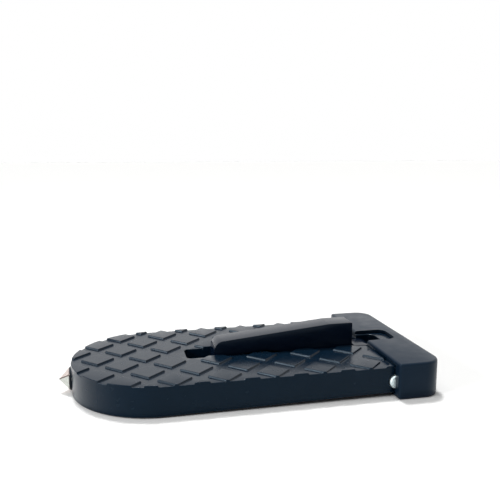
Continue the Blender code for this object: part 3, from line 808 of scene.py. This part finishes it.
class Nodes:
    """Short ways to add nodes to one material."""

    def __init__(self, tree):
        self.tree = tree

    def add(self, kind, **values):
        node = self.tree.nodes.new(kind)
        for name, value in values.items():
            setattr(node, name, value)
        return node

    def link(self, start, end):
        self.tree.links.new(start, end)

    def noise(self, scale, detail, roughness=0.5):
        """Noise in the object's own metres, as its value socket."""
        place = self.add("ShaderNodeTexCoord")
        noise = self.add("ShaderNodeTexNoise")
        self.link(place.outputs["Object"], noise.inputs["Vector"])
        noise.inputs["Scale"].default_value = scale
        noise.inputs["Detail"].default_value = detail
        noise.inputs["Roughness"].default_value = roughness
        return noise.outputs["Fac"]

    def spread(self, value, low, high, start=NOISE_RANGE[0], stop=NOISE_RANGE[1]):
        """A value mapped from one range to another."""
        spread = self.add("ShaderNodeMapRange")
        self.link(value, spread.inputs["Value"])
        spread.inputs["From Min"].default_value = start
        spread.inputs["From Max"].default_value = stop
        spread.inputs["To Min"].default_value = low
        spread.inputs["To Max"].default_value = high
        return spread.outputs["Result"]

    def mix(self, value, first, second):
        """A colour between two, by a value."""
        mix = self.add("ShaderNodeMix", data_type="RGBA")
        self.link(value, mix.inputs["Factor"])
        mix.inputs["A"].default_value = (*first, 1)
        mix.inputs["B"].default_value = (*second, 1)
        return mix.outputs["Result"]

    def maths(self, operation, value, *others):
        """One step of arithmetic on a value, with numbers or further values."""
        step = self.add("ShaderNodeMath", operation=operation)
        self.link(value, step.inputs[0])
        for socket, other in zip(step.inputs[1:], others):
            if isinstance(other, (int, float)):
                socket.default_value = other
            else:
                self.link(other, socket)
        return step.outputs[0]

    def weighted_sum(self, first, first_share, second, second_share):
        added = self.maths("MULTIPLY", second, second_share)
        return self.maths("MULTIPLY_ADD", first, first_share, added)

    def blend(self, kind, value, first, second):
        """Two colours blended, where the amount may be a number and the second a plain colour."""
        mix = self.add("ShaderNodeMix", data_type="RGBA", blend_type=kind)
        if isinstance(value, float):
            mix.inputs["Factor"].default_value = value
        else:
            self.link(value, mix.inputs["Factor"])
        self.link(first, mix.inputs["A"])
        if isinstance(second, tuple):
            mix.inputs["B"].default_value = (*second, 1)
        else:
            self.link(second, mix.inputs["B"])
        return mix.outputs["Result"]

    def bump(self, value, distance, strength=1.0, before=None):
        bump = self.add("ShaderNodeBump")
        bump.inputs["Distance"].default_value = distance
        bump.inputs["Strength"].default_value = strength
        self.link(value, bump.inputs["Height"])
        if before is not None:
            self.link(before, bump.inputs["Normal"])
        return bump.outputs["Normal"]


def new_material(name, ior=1.45, metallic=0.0, tint=(1, 1, 1)):
    """A material, its nodes and its shader. The tint colours what a face reflects head-on."""
    material = bpy.data.materials.new(name)
    material.use_nodes = True
    shader = material.node_tree.nodes["Principled BSDF"]
    shader.inputs["IOR"].default_value = ior
    shader.inputs["Metallic"].default_value = metallic
    shader.inputs["Specular Tint"].default_value = (*tint, 1)
    return material, Nodes(material.node_tree), shader


def coat_material(name, dark, light, rough, ior):
    """Sprayed and baked black coat: slight orange peel, fine grain and faint cloudiness."""
    material, nodes, shader = new_material(name, ior, tint=COAT_SHEEN)
    nodes.link(nodes.mix(nodes.noise(COAT_CLOUDS, 4), dark, light), shader.inputs["Base Color"])
    nodes.link(nodes.spread(nodes.noise(COAT_GLOSS, 5), *rough), shader.inputs["Roughness"])
    peel = nodes.bump(nodes.noise(PEEL_SCALE, 2), PEEL_DEPTH, 0.5)
    grain = nodes.bump(nodes.noise(GRAIN_SCALE, 2), GRAIN_DEPTH, 0.5, peel)
    nodes.link(grain, shader.inputs["Normal"])
    return material


def rubber_material(name, dark, light, rough, ior):
    """Moulded black rubber or nylon with a fine grain."""
    material, nodes, shader = new_material(name, ior, tint=RUBBER_SHEEN)
    nodes.link(nodes.mix(nodes.noise(RUBBER_CLOUDS, 4), dark, light), shader.inputs["Base Color"])
    nodes.link(nodes.spread(nodes.noise(RUBBER_GLOSS, 4), *rough), shader.inputs["Roughness"])
    grain = nodes.bump(nodes.noise(RUBBER_GRAIN_SCALE, 3), RUBBER_GRAIN_DEPTH, 0.6)
    nodes.link(grain, shader.inputs["Normal"])
    return material


def steel_material(name, dark, light, grain, rough, dent):
    """Plated or ground steel, mottled at the scale of its grain, with dents of the given depth."""
    material, nodes, shader = new_material(name, metallic=1.0)
    nodes.link(nodes.mix(nodes.noise(grain, 4, 0.7), dark, light), shader.inputs["Base Color"])
    low = rough * (1 - STEEL_ROUGH_SPREAD)
    high = rough * (1 + STEEL_ROUGH_SPREAD)
    nodes.link(nodes.spread(nodes.noise(grain * STEEL_GLOSS, 3), low, high), shader.inputs["Roughness"])
    nodes.link(nodes.bump(nodes.noise(grain, 3, 0.6), dent), shader.inputs["Normal"])
    return material


def tip_material():
    """Ground steel, with painted light and shade on the cone: four faces, two opposite ones painted
    lighter and two darker, and a painted dark reflection on the lines between them.
    """
    material = steel_material(
        "ground_steel", dark=(0.46, 0.45, 0.44), light=(0.60, 0.58, 0.56),
        grain=600, rough=0.30, dent=0.000006)
    nodes = Nodes(material.node_tree)
    shader = material.node_tree.nodes["Principled BSDF"]
    steel = shader.inputs["Base Color"].links[0].from_socket
    place = nodes.add("ShaderNodeTexCoord")
    split = nodes.add("ShaderNodeSeparateXYZ")
    nodes.link(place.outputs["Object"], split.inputs[0])
    height = nodes.maths("SUBTRACT", split.outputs["Z"], TIP_HEIGHT)
    turn = math.radians(TIP_PAINTED_LINE_ANGLE)
    first = nodes.weighted_sum(split.outputs["Y"], math.cos(turn), height, math.sin(turn))
    second = nodes.weighted_sum(split.outputs["Y"], -math.sin(turn), height, math.cos(turn))
    same_side = nodes.maths("MULTIPLY", first, second)
    # Painted light and shade: two opposite faces lighter, the other two darker
    shade = nodes.mix(nodes.maths("GREATER_THAN", same_side, 0), *TIP_PAINTED_FACE_SHADES)
    # Painted dark reflection along the lines between the faces
    nearest = nodes.maths("MINIMUM", nodes.maths("ABSOLUTE", first), nodes.maths("ABSOLUTE", second))
    line = nodes.spread(nearest, 1.0, 0.0, TIP_PAINTED_LINE_WIDTH / 2, TIP_PAINTED_LINE_WIDTH)
    faces = nodes.blend("MULTIPLY", 1.0, steel, shade)
    nodes.link(nodes.blend("MIX", line, faces, TIP_PAINTED_REFLECTION_COLOUR), shader.inputs["Base Color"])
    return material


# Studio

def seen_directly(nodes):
    """1 for what the camera sees, also in a mirror or through glass, and 0 for light on the object."""
    path = nodes.add("ShaderNodeLightPath")
    total = path.outputs["Is Camera Ray"]
    for name in ("Is Glossy Ray", "Is Transmission Ray"):
        add = nodes.add("ShaderNodeMath", operation="ADD", use_clamp=True)
        nodes.link(total, add.inputs[0])
        nodes.link(path.outputs[name], add.inputs[1])
        total = add.outputs[0]
    return total


FLOOR_SIZE = 6.0
FLOOR_LIGHT = (0.86, 0.86, 0.86)    # its colour as it lights the part from below
FLOOR_SEEN = (1.0, 1.0, 0.99)       # its colour as it is seen, also in a mirror
WORLD_LIGHT = 0.10                  # the world is white where it is seen, and lights the part this much


def make_floor():
    shape = bmesh.new()
    bmesh.ops.create_grid(shape, x_segments=1, y_segments=1, size=FLOOR_SIZE)
    floor = add_piece("floor", shape)
    material, nodes, shader = new_material("floor_white")
    seen = nodes.mix(seen_directly(nodes), FLOOR_LIGHT, FLOOR_SEEN)
    nodes.link(seen, shader.inputs["Base Color"])
    shader.inputs["Roughness"].default_value = 1.0
    shader.inputs["Specular IOR Level"].default_value = 0.0
    floor.data.materials.append(material)


def make_world():
    world = bpy.data.worlds.new("studio")
    bpy.context.scene.world = world
    world.use_nodes = True
    nodes = Nodes(world.node_tree)
    background = world.node_tree.nodes["Background"]
    background.inputs["Color"].default_value = (1, 1, 1, 1)
    strength = nodes.add("ShaderNodeMapRange")
    nodes.link(seen_directly(nodes), strength.inputs["Value"])
    strength.inputs["To Min"].default_value = WORLD_LIGHT
    strength.inputs["To Max"].default_value = 1.0
    nodes.link(strength.outputs["Result"], background.inputs["Strength"])


def make_lamp(name, kind, place, power, **values):
    """A lamp that points at the middle of the part."""
    data = bpy.data.lights.new(name, kind)
    data.energy = power
    for key, value in values.items():
        setattr(data, key, value)
    lamp = bpy.data.objects.new(name, data)
    lamp.location = place
    aim = Vector((0, 0, PEDAL_HEIGHT)) - lamp.location
    lamp.rotation_euler = aim.to_track_quat("-Z", "Y").to_euler()
    bpy.context.scene.collection.objects.link(lamp)


def make_lights():
    make_lamp("top_box", "SUN", (0, -0.05, 1.0), 0.95, angle=math.radians(70))
    make_lamp(
        "left_box", "AREA", (-1.080, -0.230, 0.472), 9.0,
        shape="RECTANGLE", size=0.57, size_y=0.21)
    make_lamp("back_light", "SUN", (-0.04, 0.36, 1.0), 1.98, angle=math.radians(10))


def make_camera():
    data = bpy.data.cameras.new("camera")
    data.lens = CAMERA_LENS
    data.clip_start = 0.01
    camera = bpy.data.objects.new("camera", data)
    camera.location = CAMERA_PLACE
    camera.rotation_euler = [math.radians(angle) for angle in CAMERA_TURN]
    bpy.context.scene.collection.objects.link(camera)
    bpy.context.scene.camera = camera


def main():
    make_camera()
    casting = coat_material(
        "black_coat", dark=(0.0008, 0.0070, 0.0172), light=(0.0020, 0.0103, 0.0226),
        rough=(0.20, 0.28), ior=1.55)
    hook_coat = coat_material(
        "hook_coat", dark=(0.0016, 0.0052, 0.0145), light=(0.0028, 0.0076, 0.0200),
        rough=(0.18, 0.25), ior=1.62)
    rubber = rubber_material(
        "black_rubber", dark=(0.0024, 0.0082, 0.0185), light=(0.0045, 0.0125, 0.0255),
        rough=(0.30, 0.40), ior=1.33)
    soft = rubber_material(
        "ring_rubber", dark=(0.006, 0.006, 0.007), light=(0.012, 0.012, 0.013),
        rough=(0.5, 0.6), ior=1.4)
    plated = steel_material(
        "zinc_plate", dark=(0.46, 0.56, 0.59), light=(0.86, 0.97, 0.98),
        grain=1800, rough=0.38, dent=0.00003)
    ground = tip_material()
    oxide = steel_material(
        "black_oxide", dark=(0.06, 0.06, 0.065), light=(0.12, 0.12, 0.125),
        grain=900, rough=0.4, dent=0.00001)
    nylon = rubber_material(
        "black_nylon", dark=(0.012, 0.012, 0.013), light=(0.02, 0.02, 0.022),
        rough=(0.45, 0.6), ior=1.45)
    make_casting(casting)
    make_bumper(rubber)
    make_hook(hook_coat)
    make_pin(plated)
    make_tip(ground)
    make_ring(soft)
    make_screws(oxide)
    for side in ("left", "right"):
        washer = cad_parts["hook_washer_" + side]
        washer.data.materials.clear()
        washer.data.materials.append(nylon)
    make_floor()
    make_world()
    make_lights()
    bpy.context.scene.view_settings.view_transform = "Standard"


main()
bpy.context.view_layer.update()
